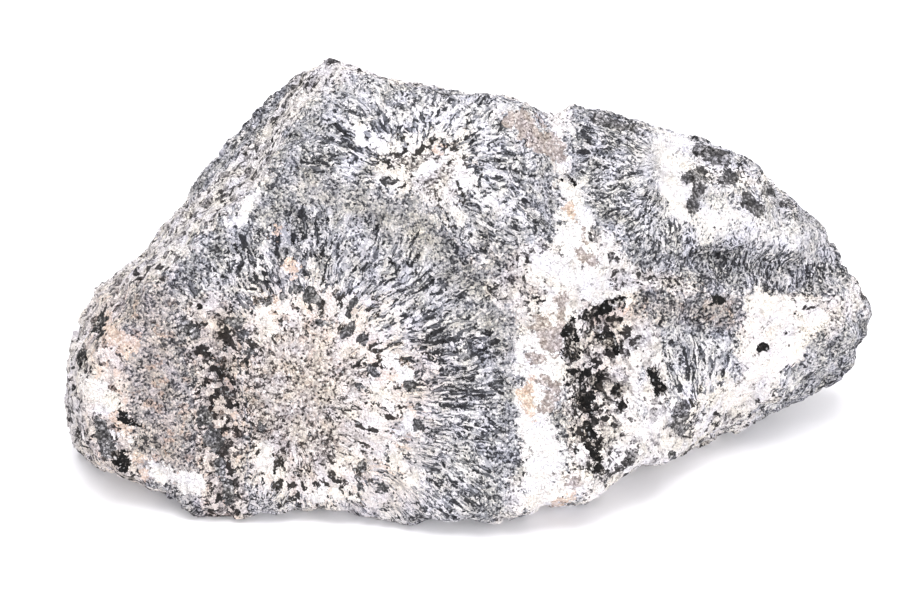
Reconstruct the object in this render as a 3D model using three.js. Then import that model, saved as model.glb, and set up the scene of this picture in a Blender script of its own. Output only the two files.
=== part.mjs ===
// A broken block of orbicular granite, grown as one piece: one closed faceted solid.
// Millimetres, +Z up. The block is longest along X and rests on a broken flat at z = 0.
//
// The block is star-shaped about its heart, so it is one formula: how far the stone reaches in
// each direction. Two things limit that reach, and a smooth minimum joins them:
//   - the broken faces, each a plane given by where it looks and how far out it lies, and
//     waved a little, as a break runs through coarse grain;
//   - the rim, the block's widest outline, which lies in a plane that leans back.
// Dents, swellings and chipped relief are pushed in or out along the surface's own normal, and
// everything under the flat is cut off.
import * as THREE from 'three';

// ---- driving dimensions -----------------------------------------------------------------
const LENGTH = 208; // from end to end along X; every size below is drawn for this length
const HEART_HEIGHT = 47; // the heart of the block above the flat it rests on
const LEAN = 28; // degrees that the rim's plane leans back from upright
const RIM_APEX = 560; // the rim's walls draw together towards a point this far in front
const RIM_RADIUS = 60; // a middling radius, where the faces' wave is measured
const RIM_SPREAD = 0.994; // the rim is drawn in a little, and the relief brings it back out
const EDGE_SHARPNESS = 30; // exponent of the smooth minimum between two broken faces
const RIM_SHARPNESS = 40; // exponent of the smooth minimum between the faces and the rim

// The broken faces: the way each one looks (yaw from the front, towards +X; pitch up from
// level; degrees) and how far it lies from the heart.
const BROKEN_FACES = [
  { name: 'front_left', yaw: -3, pitch: 21, reach: 22 },
  { name: 'front_right', yaw: 31, pitch: 20, reach: 31.5 },
  { name: 'upper_left', yaw: 0, pitch: 50, reach: 34 },
  { name: 'upper_right', yaw: 32, pitch: 47, reach: 32 },
  { name: 'shoulder_left', yaw: -82, pitch: 45, reach: 60.5 },
  { name: 'end_left', yaw: -55, pitch: 5, reach: 88 },
  { name: 'under_right', yaw: 39, pitch: -21, reach: 59 },
  { name: 'base', yaw: 0, pitch: -90, reach: 53 },
  { name: 'top', yaw: 10, pitch: 84, reach: 54 },
  { name: 'top_left', yaw: -140, pitch: 62, reach: 68 },
  { name: 'back_top', yaw: 166, pitch: 58, reach: 57 },
  { name: 'back_high', yaw: -172, pitch: 33, reach: 56 },
  { name: 'back', yaw: 186, pitch: -6, reach: 46 },
  { name: 'back_low', yaw: 172, pitch: -44, reach: 53 },
  { name: 'back_scar', yaw: 161, pitch: 16, reach: 57 },
  { name: 'back_left', yaw: -138, pitch: 14, reach: 68 },
  { name: 'back_left_low', yaw: -150, pitch: -24, reach: 64 },
  { name: 'back_right', yaw: 152, pitch: 2, reach: 73 },
  { name: 'end_right', yaw: 95, pitch: 10, reach: 108 },
];
const FACE_WAVE = { size: 34, amount: 0.05, seed: 40 }; // how far the faces swing, over their reach

// The rim's corners, [across, up] in its leaning plane from the heart, clockwise from the peak.
const RIM_CORNERS = [
  [-34, 56.5], [-21.5, 51], [-14, 49], [12, 45.5], [22, 42.5], [26, 44.5], [33, 43.5],
  [65.5, 33], [71, 29.5], [88.5, 13.5], [98, 0], [100, -5], [99.5, -12], [97, -14],
  [97, -18.5], [95.5, -21.5], [75, -32.5], [63, -37], [51.5, -44], [48.5, -45],
  [43.5, -44.5], [29, -54], [18.5, -54.5], [11.5, -57.5], [-3.5, -57.5], [-16, -59.5],
  [-22.5, -59], [-27.5, -56.5], [-41.5, -55.5], [-59, -58], [-68.5, -57.5], [-75.5, -52],
  [-93.5, -44.5], [-97.5, -40.5], [-99, -36.5], [-100, -28.5], [-98.5, -13], [-93, -3],
  [-80, 6.5], [-72.5, 16], [-63.5, 31], [-50.5, 46], [-41.5, 54],
];

// Dents (depth > 0) and swellings (depth < 0), each along a line from one point [across, up] of
// the rim's plane to another, with the half-width over which it fades. They lie in the front,
// or in the back where they say so.
const DENTS = [
  { name: 'vein_head', from: [22, 46], to: [25, 26], width: 6, depth: 3.2 },
  { name: 'vein_middle', from: [25, 26], to: [21, 4], width: 7, depth: 2.4 },
  { name: 'mica_pocket', from: [36, -4], to: [27, -36], width: 6, depth: 3.4 },
  { name: 'vein_ridge', from: [17, -8], to: [14, -44], width: 5, depth: -1.2 },
  { name: 'dark_band', from: [58, 6], to: [97, 2], width: 4, depth: 2.4 },
  { name: 'band_brow', from: [52, 15], to: [92, 11], width: 5, depth: -1.2 },
  { name: 'seam_between_orbicules', from: [-50, 27], to: [2, 2], width: 6, depth: 1.0 },
  { name: 'core_swelling', from: [-42, -18], to: [-30, -38], width: 17, depth: -1.8 },
  { name: 'left_hollow', from: [-84, -8], to: [-78, -46], width: 8, depth: 1.6 },
  { name: 'left_comb_step', from: [-64, -16], to: [-60, -54], width: 6, depth: 1.0 },
  { name: 'peak_notch', from: [-46, 40], to: [-58, 24], width: 7, depth: 1.4 },
  { name: 'right_bite', from: [66, -30], to: [52, -38], width: 7, depth: 1.8 },
  { name: 'back_ledge', from: [-62, 6], to: [4, 18], width: 8, depth: 3.0, back: true },
  { name: 'back_ledge_lip', from: [-58, 20], to: [0, 32], width: 8, depth: -2.2, back: true },
  { name: 'back_vein', from: [20, 36], to: [30, -30], width: 7, depth: 3.4, back: true },
  { name: 'back_chip', from: [56, 16], to: [70, -6], width: 11, depth: 3.6, back: true },
  { name: 'back_boss', from: [-30, -26], to: [-12, -34], width: 15, depth: -3.0, back: true },
];
const FRONT_FADE = { start: -25, end: -5 }; // out of the rim's plane, where front becomes back

// Relief all over: rounded lumps, and chips, which are shallow scoops that meet in ridges.
const LUMPS = [
  { size: 40, height: 1.6, seed: 1 },
  { size: 17, height: 1.0, seed: 2 },
  { size: 8, height: 0.5, seed: 3 },
];
const SCOOPS = [
  { size: 30, height: 3.4, seed: 10 },
  { size: 13, height: 1.9, seed: 20 },
];
const SCOOP_MEAN = 0.3; // the scoops' mean level, taken off so that they don't swell the block
const BACK_ROUGHNESS = 1.7; // the back was broken off roughly: its relief is this much higher
const NORMAL_STEP = 4; // either way, where the surface's slope is measured
const RIM_CALM = 0.35; // share of relief and dents that is left where the rim limits the stone

// The net of the surface: cells along X, Y and Z of a box, which is rounded and put round the
// heart off centre, nearer the front, so that the cells come out even.
const CELLS = [46, 19, 24];
const NET_LOW = [-100, -26, -46];
const NET_HIGH = [102, 50, 46];
const NET_ROUNDING = 5; // 2 makes the box a ball, and more leaves it squarer

// ---- small helpers ----------------------------------------------------------------------
const radians = (degrees) => (degrees * Math.PI) / 180;
const clamp01 = (x) => Math.min(Math.max(x, 0), 1);

const lean = radians(LEAN);
const ACROSS = new THREE.Vector3(1, 0, 0);
const UP_SLOPE = new THREE.Vector3(0, Math.sin(lean), Math.cos(lean));
const OUT = new THREE.Vector3(0, -Math.cos(lean), Math.sin(lean));

function lookVector({ yaw, pitch }) {
  const y = radians(yaw);
  const p = radians(pitch);
  return new THREE.Vector3(Math.sin(y) * Math.cos(p), -Math.cos(y) * Math.cos(p), Math.sin(p));
}

const faces = BROKEN_FACES.map((face) => ({ normal: lookVector(face), reach: face.reach }));

// ---- seeded noise -----------------------------------------------------------------------
// A number in [0, 1) that belongs to one cell of a cubic lattice.
function cellNumber(i, j, k, seed) {
  const v = Math.sin(i * 127.1 + j * 311.7 + k * 74.7 + seed * 53.3) * 43758.5453;
  return v - Math.floor(v);
}

const ease = (t) => t * t * t * (t * (t * 6 - 15) + 10);

// Value noise in [-1, 1]: cell numbers blended smoothly between the lattice's corners.
function lump(point, size, seed) {
  const q = point.toArray().map((v) => v / size);
  const cell = q.map(Math.floor);
  const f = q.map((v, axis) => ease(v - cell[axis]));
  let sum = 0;
  for (let corner = 0; corner < 8; corner++) {
    const step = [corner & 1, (corner >> 1) & 1, corner >> 2];
    const weight = step.reduce((w, on, axis) => w * (on ? f[axis] : 1 - f[axis]), 1);
    sum += weight * cellNumber(cell[0] + step[0], cell[1] + step[1], cell[2] + step[2], seed);
  }
  return 2 * sum - 1;
}

// Squared distance, in cells, to the nearest of one random point per cell: a field of bowls
// that meet in sharp ridges, as the scars of broken-off chips do.
function scoop(point, size, seed) {
  const q = point.toArray().map((v) => v / size);
  const cell = q.map(Math.floor);
  let nearest = Infinity;
  for (let n = 0; n < 27; n++) {
    const step = [(n % 3) - 1, (Math.floor(n / 3) % 3) - 1, Math.floor(n / 9) - 1];
    const c = cell.map((v, axis) => v + step[axis]);
    const gaps = c.map((v, axis) => v + cellNumber(...c, seed + axis) - q[axis]);
    nearest = Math.min(nearest, gaps[0] ** 2 + gaps[1] ** 2 + gaps[2] ** 2);
  }
  return nearest;
}

// ---- the form ---------------------------------------------------------------------------
// Reach of the rim polygon at a bearing in its plane: where a ray from the heart meets the side
// that it leaves through.
function rimReach(bearing) {
  const dx = Math.cos(bearing);
  const dy = Math.sin(bearing);
  for (let i = 0; i < RIM_CORNERS.length; i++) {
    const [ax, ay] = RIM_CORNERS[i];
    const [bx, by] = RIM_CORNERS[(i + 1) % RIM_CORNERS.length];
    const before = dx * ay - dy * ax;
    const after = dx * by - dy * bx;
    if (before >= 0 && after < 0) {
      return (ax * (by - ay) - ay * (bx - ax)) / (dx * (by - ay) - dy * (bx - ax));
    }
  }
  throw new Error('the rim does not go round the heart');
}

// 1 / reach of the broken faces, and of the rim, in one direction.
function faceLimit(direction) {
  const { size, amount, seed } = FACE_WAVE;
  const probe = direction.clone().multiplyScalar(RIM_RADIUS);
  const wave = [0, 1, 2].map((axis) => amount * lump(probe, size, seed + axis));
  const waved = new THREE.Vector3(...wave).add(direction);
  let sum = 0;
  for (const { normal, reach } of faces) {
    sum += Math.max(normal.dot(waved) / reach, 0) ** EDGE_SHARPNESS;
  }
  return sum ** (1 / EDGE_SHARPNESS);
}

function rimLimit(direction) {
  const s = direction.dot(ACROSS);
  const t = direction.dot(UP_SLOPE);
  const wall = Math.hypot(s, t) / (rimReach(Math.atan2(t, s)) * RIM_SPREAD);
  return Math.max(wall + direction.dot(OUT) / RIM_APEX, 0);
}

function distanceToLine(s, t, [as, at], [bs, bt]) {
  const along = ((s - as) * (bs - as) + (t - at) * (bt - at)) / ((bs - as) ** 2 + (bt - at) ** 2);
  const k = clamp01(along);
  return Math.hypot(s - as - k * (bs - as), t - at - k * (bt - at));
}

// 1 on the front of the block, 0 on its back.
function frontShare(point) {
  return clamp01((point.dot(OUT) - FRONT_FADE.start) / (FRONT_FADE.end - FRONT_FADE.start));
}

// How far the dents draw the surface in at a point of it.
function dentDepth(point) {
  const front = frontShare(point);
  const s = point.dot(ACROSS);
  const t = point.dot(UP_SLOPE);
  let depth = 0;
  for (const dent of DENTS) {
    const away = distanceToLine(s, t, dent.from, dent.to) / dent.width;
    depth += dent.depth * Math.exp(-away * away) * (dent.back ? 1 - front : front);
  }
  return depth;
}

function relief(point) {
  let height = 0;
  for (const layer of LUMPS) height += layer.height * lump(point, layer.size, layer.seed);
  for (const layer of SCOOPS) {
    height += layer.height * (scoop(point, layer.size, layer.seed) - SCOOP_MEAN);
  }
  return height * (BACK_ROUGHNESS + (1 - BACK_ROUGHNESS) * frontShare(point));
}

// 1 / reach of the bare block in one direction, and how much of it is due to the broken faces.
function blockLimit(direction) {
  const f = faceLimit(direction) ** RIM_SHARPNESS;
  const r = rimLimit(direction) ** RIM_SHARPNESS;
  return { limit: (f + r) ** (1 / RIM_SHARPNESS), faceShare: f / (f + r) };
}

// The bare block's normal at a point: the slope of distance x limit, which is 1 on the surface.
// The slope is taken over a few millimetres, so that the normal turns gently round an edge and
// neighbouring points don't cross when they are pushed in.
function blockNormal(point) {
  const level = (p) => p.length() * blockLimit(p.clone().normalize()).limit;
  const slope = [0, 1, 2].map((axis) => {
    const step = new THREE.Vector3().setComponent(axis, NORMAL_STEP);
    return level(point.clone().add(step)) - level(point.clone().sub(step));
  });
  return new THREE.Vector3(...slope).normalize();
}

// The stone's surface point for one direction from the heart.
function surfacePoint(direction) {
  const { limit, faceShare } = blockLimit(direction);
  const point = direction.clone().divideScalar(limit);
  const calm = RIM_CALM + (1 - RIM_CALM) * faceShare;
  const change = (relief(point) - dentDepth(point)) * calm;
  point.addScaledVector(blockNormal(point), change);
  return point.z < -HEART_HEIGHT ? point.multiplyScalar(-HEART_HEIGHT / point.z) : point;
}

// ---- the net ----------------------------------------------------------------------------
// A cube's surface is divided into CELLS, rounded and stretched into the net's box, and each of
// its points gives a direction from the heart. Half of the tangent's spacing keeps cells even.
function direction(i, j, k) {
  const cube = [i, j, k].map((n, axis) => {
    const c = (2 * n) / CELLS[axis] - 1;
    return (c + Math.tan((Math.PI / 4) * c)) / 2;
  });
  const size = cube.reduce((sum, c) => sum + Math.abs(c) ** NET_ROUNDING, 0) ** (1 / NET_ROUNDING);
  const place = cube.map((c, axis) => {
    const middle = (NET_LOW[axis] + NET_HIGH[axis]) / 2;
    return middle + (c / size) * (NET_HIGH[axis] - middle);
  });
  return new THREE.Vector3(...place).normalize();
}

function blockGeometry() {
  const positions = [];
  const triangles = [];
  const numbers = new Map();
  const vertex = (i, j, k) => {
    const key = `${i},${j},${k}`;
    if (!numbers.has(key)) {
      const p = surfacePoint(direction(i, j, k));
      numbers.set(key, positions.length / 3);
      positions.push(p.x, p.y, Math.max(p.z + HEART_HEIGHT, 0));
    }
    return numbers.get(key);
  };
  // A cell is split along the diagonal whose middle lies closer to the stone's own surface, so
  // ridges and hollows that cross the net stay whole.
  const split = ([a, b, c, d], middle) => {
    const off = (m, n) => {
      const x = (positions[3 * m] + positions[3 * n]) / 2 - middle.x;
      const y = (positions[3 * m + 1] + positions[3 * n + 1]) / 2 - middle.y;
      const z = (positions[3 * m + 2] + positions[3 * n + 2]) / 2 - HEART_HEIGHT - middle.z;
      return Math.hypot(x, y, z);
    };
    if (off(a, c) <= off(b, d)) triangles.push(a, b, c, a, c, d);
    else triangles.push(b, c, d, b, d, a);
  };
  // For each axis, the two faces of the cube that it crosses, wound to look outward.
  for (let axis = 0; axis < 3; axis++) {
    const [a, b] = [(axis + 1) % 3, (axis + 2) % 3];
    for (const far of [0, 1]) {
      const node = (m, n) => {
        const ijk = [0, 0, 0];
        ijk[axis] = far * CELLS[axis];
        ijk[a] = m;
        ijk[b] = n;
        return ijk;
      };
      for (let m = 0; m < CELLS[a]; m++) {
        for (let n = 0; n < CELLS[b]; n++) {
          const corners = [node(m, n), node(m + 1, n), node(m + 1, n + 1), node(m, n + 1)];
          if (!far) corners.reverse();
          const middle = surfacePoint(direction(...node(m + 0.5, n + 0.5)));
          split(corners.map((ijk) => vertex(...ijk)), middle);
        }
      }
    }
  }
  const geometry = new THREE.BufferGeometry();
  geometry.setAttribute('position', new THREE.Float32BufferAttribute(positions, 3));
  geometry.setIndex(triangles);
  return geometry;
}

// Moves the block so that the middle of its bounding box stands over the origin, and brings it
// to its length.
function placeAndSize(geometry) {
  geometry.computeBoundingBox();
  const box = geometry.boundingBox;
  const middle = box.getCenter(new THREE.Vector3());
  geometry.translate(-middle.x, -middle.y, 0);
  const scale = LENGTH / (box.max.x - box.min.x);
  geometry.scale(scale, scale, scale);
  geometry.computeVertexNormals();
  return geometry;
}

// ---- the part ---------------------------------------------------------------------------
const granite = new THREE.MeshStandardMaterial({ color: 0xa9a8a8, roughness: 0.82, metalness: 0 });
const block = new THREE.Mesh(placeAndSize(blockGeometry()), granite);
block.name = 'granite_block';

const group = new THREE.Group();
group.name = 'orbicular_granite';
group.add(block);

export default group;
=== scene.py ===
# %% [markdown]
# # A block of orbicular granite
# Orbicular granite is a rare rock. Its minerals grew in balls, called orbicules: a speckled
# core, a pale rim, then a comb of laths that all point away from the core, and a fine grey
# shell. Between the balls lies coarse white feldspar with clots of black mica. This block was
# broken out of it, so every face of the block is a cut through that pattern.
#
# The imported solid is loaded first. It fixes the block's size and place, and everything below is
# measured from it.

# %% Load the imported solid
import math

import bpy
import numpy as np
from mathutils import Matrix, Vector


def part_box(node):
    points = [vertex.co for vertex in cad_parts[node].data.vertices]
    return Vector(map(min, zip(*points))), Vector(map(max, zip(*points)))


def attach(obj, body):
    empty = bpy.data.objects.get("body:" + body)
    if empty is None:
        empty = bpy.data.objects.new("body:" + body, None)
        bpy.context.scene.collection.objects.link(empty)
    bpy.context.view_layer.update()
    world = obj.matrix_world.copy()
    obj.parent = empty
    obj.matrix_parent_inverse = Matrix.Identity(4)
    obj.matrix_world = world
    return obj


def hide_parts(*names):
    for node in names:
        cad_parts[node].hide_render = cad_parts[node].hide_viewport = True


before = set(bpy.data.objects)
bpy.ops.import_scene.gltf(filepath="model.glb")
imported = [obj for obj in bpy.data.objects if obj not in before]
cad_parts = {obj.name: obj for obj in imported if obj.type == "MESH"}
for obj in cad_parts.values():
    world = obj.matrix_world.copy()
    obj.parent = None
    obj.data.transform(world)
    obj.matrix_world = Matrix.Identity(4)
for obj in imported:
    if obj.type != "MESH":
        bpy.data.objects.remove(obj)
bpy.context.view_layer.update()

node_low, node_high = (np.array(corner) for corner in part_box("granite_block"))
print("CAD box, mm:", np.round((node_high - node_low) * 1000, 1))

# %% [markdown]
# ## The leaning plane
# The block's widest outline lies in a plane that leans back. It is handy to describe the stone
# in that plane's own directions: across, up the slope, and out of it. Sizes are in millimetres
# from the heart, the point that the block is drawn about, and are turned into metres when the
# mesh is made.

# %% Directions of the leaning plane
LEAN = math.radians(28)
HEART_HEIGHT = 47.0
ACROSS = np.array([1.0, 0.0, 0.0])
UP_SLOPE = np.array([0.0, math.sin(LEAN), math.cos(LEAN)])
OUT = np.array([0.0, -math.cos(LEAN), math.sin(LEAN)])

# %% [markdown]
# ## The form of the block
# A rock has no construction to copy, so it can be sculpted, scanned or worked out. Here it is
# worked out: seen from its heart, the block reaches a certain distance in each direction, and
# that distance is a formula. Broken faces are planes, the outline is a polygon, and a smooth
# minimum joins them, so edges come out slightly blunt, as they are on broken stone. The packed
# solid was made in the same way on a net of a few thousand triangles. This one uses a net about
# one millimetre wide, so it can carry the grain as well.

# %% Broken faces and outline
EDGE_SHARPNESS = 30  # exponent of the smooth minimum between two broken faces
RIM_SHARPNESS = 40  # and of the one between the faces and the outline
RIM_RADIUS = 60.0  # a middling radius, where the faces' wave is measured
RIM_SPREAD = 0.994  # the outline is drawn in a little, and the relief brings it back out
RIM_APEX = 560.0  # the outline's walls draw together towards a point this far in front

# name: yaw from the front towards +X, pitch up from level (degrees), reach (mm)
BROKEN_FACES = {
    "front_left": (-3, 21, 22), "front_right": (31, 20, 31.5),
    "upper_left": (0, 50, 34), "upper_right": (32, 47, 32),
    "shoulder_left": (-82, 45, 60.5), "end_left": (-55, 5, 88),
    "under_right": (39, -21, 59), "base": (0, -90, 53),
    "top": (10, 84, 54), "top_left": (-140, 62, 68),
    "back_top": (166, 58, 57), "back_high": (-172, 33, 56),
    "back": (186, -6, 46), "back_low": (172, -44, 53),
    "back_scar": (161, 16, 57), "back_left": (-138, 14, 68),
    "back_left_low": (-150, -24, 64), "back_right": (152, 2, 73),
    "end_right": (95, 10, 108),
}
# a break runs in waves through coarse grain: size of a wave (mm), how far it swings, seed
FACE_WAVE_SIZE, FACE_WAVE, FACE_WAVE_SEED = 34.0, 0.05, 40

RIM_CORNERS = np.array([
    [-34, 56.5], [-21.5, 51], [-14, 49], [12, 45.5], [22, 42.5], [26, 44.5], [33, 43.5],
    [65.5, 33], [71, 29.5], [88.5, 13.5], [98, 0], [100, -5], [99.5, -12], [97, -14],
    [97, -18.5], [95.5, -21.5], [75, -32.5], [63, -37], [51.5, -44], [48.5, -45],
    [43.5, -44.5], [29, -54], [18.5, -54.5], [11.5, -57.5], [-3.5, -57.5], [-16, -59.5],
    [-22.5, -59], [-27.5, -56.5], [-41.5, -55.5], [-59, -58], [-68.5, -57.5], [-75.5, -52],
    [-93.5, -44.5], [-97.5, -40.5], [-99, -36.5], [-100, -28.5], [-98.5, -13], [-93, -3],
    [-80, 6.5], [-72.5, 16], [-63.5, 31], [-50.5, 46], [-41.5, 54],
])


def face_normals():
    """Unit vectors: yaw turns away from -Y towards +X, pitch lifts towards +Z."""
    yaw, pitch, reach = np.array(list(BROKEN_FACES.values()), float).T
    yaw, pitch = np.radians(yaw), np.radians(pitch)
    normals = np.stack(
        [np.sin(yaw) * np.cos(pitch), -np.cos(yaw) * np.cos(pitch), np.sin(pitch)], axis=1
    )
    return normals, reach


def rim_reach(bearing):
    """Radius of the outline polygon: where a ray at this bearing crosses the side it meets."""
    angle = np.arctan2(RIM_CORNERS[:, 1], RIM_CORNERS[:, 0])
    order = np.argsort(angle)
    after = np.searchsorted(angle[order], bearing) % len(order)
    a, b = RIM_CORNERS[order][after - 1], RIM_CORNERS[order][after]
    side = b - a
    dx, dy = np.cos(bearing), np.sin(bearing)
    return (a[:, 0] * side[:, 1] - a[:, 1] * side[:, 0]) / (dx * side[:, 1] - dy * side[:, 0])


print("broken faces:", len(BROKEN_FACES), " outline corners:", len(RIM_CORNERS))

# %% [markdown]
# ## Relief from seeded noise
# Three kinds of relief cover the block. Lumps are smooth noise. Chips are shallow bowls that
# meet in sharp ridges, as scars do where flakes broke off. Dents and swellings are placed one
# by one: the notch where the vein crosses the top, the pocket where soft mica fell out, the
# ledges of the back.

# %% Noise on whole arrays


def cell_number(i, j, k, seed):
    """One number in [0, 1) for each cell: the fraction left of a large sine."""
    value = np.sin(i * 127.1 + j * 311.7 + k * 74.7 + seed * 53.3) * 43758.5453
    return value - np.floor(value)


def lump(points, size, seed):
    """Value noise in [-1, 1]: the eight corner numbers blended by an eased distance."""
    q = points / size
    cell = np.floor(q)
    f = q - cell
    f = f**3 * (f * (f * 6 - 15) + 10)
    total = 0.0
    for corner in np.ndindex(2, 2, 2):
        weight = np.prod(np.where(corner, f, 1 - f), axis=1)
        total = total + weight * cell_number(*(cell + corner).T, seed)
    return 2 * total - 1


def cells_around(points, size, seed):
    """Each of the 27 cells around a point, and the way to the point from that cell's own point.

    A cell's own point lies at a random place in it. Lengths are in cells.
    """
    q = points / size
    for step in np.ndindex(3, 3, 3):
        cell = np.floor(q) + np.array(step) - 1
        place = np.stack([cell_number(*cell.T, seed + axis) for axis in range(3)], axis=1)
        yield cell, q - (cell + place)


def scoop(points, size, seed):
    """Squared distance, in cells, to the nearest of the cells' own points."""
    nearest = np.full(len(points), np.inf)
    for _, way in cells_around(points, size, seed):
        nearest = np.minimum(nearest, (way**2).sum(1))
    return nearest


# %% Relief and dents
# lumps and chips: size of a cell, height, seed (mm)
LUMPS = [(40, 1.6, 1), (17, 1.0, 2), (8, 0.5, 3)]
SCOOPS = [(30, 3.4, 10), (13, 1.9, 20)]
SCOOP_MEAN = 0.3  # the scoops' mean level, taken off so that they don't swell the block
BACK_ROUGHNESS = 1.7  # the back was broken off roughly: its relief is this much higher
RIM_CALM = 0.35  # share of relief and dents that is left at the outline
FRONT_STARTS, FRONT_FADE = -25.0, 20.0  # where the back turns into the front, out from the heart

# name: from, to (across, up), half-width, depth (mm; below zero is a swelling), on the back
DENTS = {
    "vein_head": ((22, 46), (25, 26), 6, 3.2, False),
    "vein_middle": ((25, 26), (21, 4), 7, 2.4, False),
    "mica_pocket": ((36, -4), (27, -36), 6, 3.4, False),
    "vein_ridge": ((17, -8), (14, -44), 5, -1.2, False),
    "dark_band": ((58, 6), (97, 2), 4, 2.4, False),
    "band_brow": ((52, 15), (92, 11), 5, -1.2, False),
    "seam_between_orbicules": ((-50, 27), (2, 2), 6, 1.0, False),
    "core_swelling": ((-42, -18), (-30, -38), 17, -1.8, False),
    "left_hollow": ((-84, -8), (-78, -46), 8, 1.6, False),
    "left_comb_step": ((-64, -16), (-60, -54), 6, 1.0, False),
    "peak_notch": ((-46, 40), (-58, 24), 7, 1.4, False),
    "right_bite": ((66, -30), (52, -38), 7, 1.8, False),
    "back_ledge": ((-62, 6), (4, 18), 8, 3.0, True),
    "back_ledge_lip": ((-58, 20), (0, 32), 8, -2.2, True),
    "back_vein": ((20, 36), (30, -30), 7, 3.4, True),
    "back_chip": ((56, 16), (70, -6), 11, 3.6, True),
    "back_boss": ((-30, -26), (-12, -34), 15, -3.0, True),
}


def front_share(points):
    """1 in the front part of the block, 0 behind it."""
    return np.clip((points @ OUT - FRONT_STARTS) / FRONT_FADE, 0, 1)


def line_place(flat, start, end):
    """Distance of points (across, up) from a line, and how far along it they lie, 0 to 1."""
    start, run = np.array(start, float), np.subtract(end, start)
    along = np.clip((flat - start) @ run / (run @ run), 0, 1)
    return np.linalg.norm(flat - start - along[:, None] * run, axis=1), along


def dent_depth(points):
    """Sum of bell-shaped dents: depth x exp(-(distance to the dent's line / width) squared)."""
    front = front_share(points)
    flat = np.stack([points @ ACROSS, points @ UP_SLOPE], axis=1)
    depth = np.zeros(len(points))
    for start, end, width, deep, on_back in DENTS.values():
        away, _ = line_place(flat, start, end)
        depth += deep * np.exp(-((away / width) ** 2)) * ((1 - front) if on_back else front)
    return depth


def lumps_and_chips(points, lumps, chips):
    """Sum of smooth lumps and of scooped chips, each pattern times its height."""
    height = sum(h * lump(points, size, seed) for size, h, seed in lumps)
    return height + sum(h * (scoop(points, size, seed) - SCOOP_MEAN) for size, h, seed in chips)


def relief(points):
    """Lumps and chips, higher on the back, which broke off roughly."""
    height = lumps_and_chips(points, LUMPS, SCOOPS)
    return height * (BACK_ROUGHNESS + (1 - BACK_ROUGHNESS) * front_share(points))


# %% The bare block, and the stone
NORMAL_STEP = 4.0  # either way, where the surface's slope is measured


def block_limit(directions):
    """1 / reach of the bare block: a power mean of 1 / (each plane's and the outline's reach).

    A high power makes the mean a minimum of the reaches, with slightly blunt joins. The share
    that is due to the planes comes with it.
    """
    normals, reach = face_normals()
    wave = [lump(directions * RIM_RADIUS, FACE_WAVE_SIZE, FACE_WAVE_SEED + n) for n in range(3)]
    waved = directions + FACE_WAVE * np.stack(wave, axis=1)
    faces = (np.maximum(waved @ normals.T / reach, 0) ** EDGE_SHARPNESS).sum(1)
    faces = faces ** (RIM_SHARPNESS / EDGE_SHARPNESS)
    s, t = directions @ ACROSS, directions @ UP_SLOPE
    wall = np.hypot(s, t) / (rim_reach(np.arctan2(t, s)) * RIM_SPREAD)
    rim = np.maximum(wall + directions @ OUT / RIM_APEX, 0) ** RIM_SHARPNESS
    return (faces + rim) ** (1 / RIM_SHARPNESS), faces / (faces + rim)


def unit(vectors):
    """Each row divided by its length."""
    return vectors / np.linalg.norm(vectors, axis=1, keepdims=True)


def block_normals(points):
    """Slope of distance x limit, a level that is 1 all over the bare block.

    It is taken over a few millimetres, so the normal turns gently round an edge.
    """
    def level(p):
        return np.linalg.norm(p, axis=1) * block_limit(unit(p))[0]

    steps = NORMAL_STEP * np.eye(3)
    return unit(np.stack([level(points + step) - level(points - step) for step in steps], axis=1))


def cut_flat(points):
    """A point under the resting flat is drawn back along its ray, up to the flat."""
    down = np.minimum(points[:, 2], -1e-9)
    return points * np.minimum(-HEART_HEIGHT / down, 1)[:, None]


def stone(directions):
    """Bare block points, pushed along the normals by the relief and the dents, then cut flat."""
    limit, face_share = block_limit(directions)
    points = directions / limit[:, None]
    calm = RIM_CALM + (1 - RIM_CALM) * face_share
    change = (relief(points) - dent_depth(points)) * calm
    return cut_flat(points + block_normals(points) * change[:, None])


# %% [markdown]
# ## The net
# A sphere of latitude and longitude would crowd its cells at two poles. The six sides of a cube
# have no poles. The cube is stretched into a rounded box that stands off centre round the heart,
# because the front of the block lies close to the heart and its far end would get long cells.
# The cells on a side are a grid of two parameters. Sides share the grid points of their edges,
# so the net is closed without merging anything.

# %% A closed net on a cube
CELLS = (208, 84, 108)
NET_LOW = np.array([-100.0, -26.0, -46.0])
NET_HIGH = np.array([102.0, 50.0, 46.0])
NET_ROUNDING = 5  # 2 makes the box a ball, and more leaves it squarer


def cube_net(cells):
    """Lattice points on the outside of a box of cells, and the quads between them."""
    size = np.array(cells) + 1
    ijk = np.stack(np.meshgrid(*(np.arange(n) for n in size), indexing="ij"), axis=-1)
    outside = ((ijk == 0) | (ijk == size - 1)).any(axis=-1)
    number = np.full(size, -1)
    number[outside] = np.arange(outside.sum())
    quads = []
    for axis in range(3):
        sheets = np.moveaxis(number, (axis, (axis + 1) % 3, (axis + 2) % 3), (0, 1, 2))
        for sheet, step in ((sheets[-1], 1), (sheets[0], -1)):
            ring = [sheet[:-1, :-1], sheet[1:, :-1], sheet[1:, 1:], sheet[:-1, 1:]][::step]
            quads.append(np.stack([corner.ravel() for corner in ring], axis=1))
    return ijk[outside], np.concatenate(quads)


def net_directions(ijk, cells):
    """Cube, with spacing half way to the tangent's, then rounded box, then direction."""
    cube = 2 * ijk / np.array(cells) - 1
    cube = (cube + np.tan(np.pi / 4 * cube)) / 2
    size = (np.abs(cube) ** NET_ROUNDING).sum(1, keepdims=True) ** (1 / NET_ROUNDING)
    middle = (NET_LOW + NET_HIGH) / 2
    return unit(middle + cube / size * (NET_HIGH - middle))


lattice, quads = cube_net(CELLS)
points = stone(net_directions(lattice, CELLS))
print("net:", len(points), "points,", 2 * len(quads), "triangles")

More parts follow.
